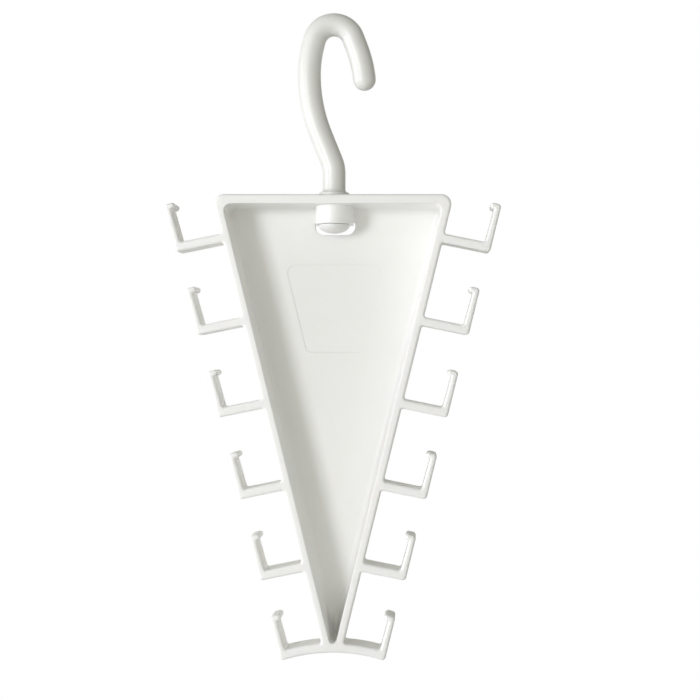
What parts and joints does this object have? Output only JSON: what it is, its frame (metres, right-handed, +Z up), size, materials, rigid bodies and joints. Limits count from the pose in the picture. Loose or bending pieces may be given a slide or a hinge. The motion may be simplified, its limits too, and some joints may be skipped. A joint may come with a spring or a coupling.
{
  "type": "tie hanger",
  "caption": "White moulded tie hanger: a shallow triangular tray with tie hooks down both sides, hung from a swivelling hook.",
  "frame": {"origin": "inside top of the hanging hook, where it rests on the closet rod, on the swivel axis", "axes": "+Z up along the swivel axis, -Y towards the tray's open face, +X towards the hook's open side"},
  "size_m": [0.1342, 0.02, 0.26],
  "materials": {
    "hanger_pp": "fine satin moulded white polypropylene",
    "hook_pp": "smooth moulded white polypropylene"
  },
  "bodies": {
    "hook": {"swivel_hook": "hook_pp"},
    "hanger": {"tray": "hanger_pp", "tie_hook_left_1": "hanger_pp", "tie_hook_left_2": "hanger_pp", "tie_hook_left_3": "hanger_pp", "tie_hook_left_4": "hanger_pp", "tie_hook_left_5": "hanger_pp", "tie_hook_left_6": "hanger_pp", "tie_hook_right_1": "hanger_pp", "tie_hook_right_2": "hanger_pp", "tie_hook_right_3": "hanger_pp", "tie_hook_right_4": "hanger_pp", "tie_hook_right_5": "hanger_pp", "tie_hook_right_6": "hanger_pp"}
  },
  "joints": [
    {"name": "swivel", "type": "hinge", "parent": "hook", "child": "hanger", "pos_m": [0, 0, -0.065], "axis": [0, 0, 1], "continuous": true}
  ]
}
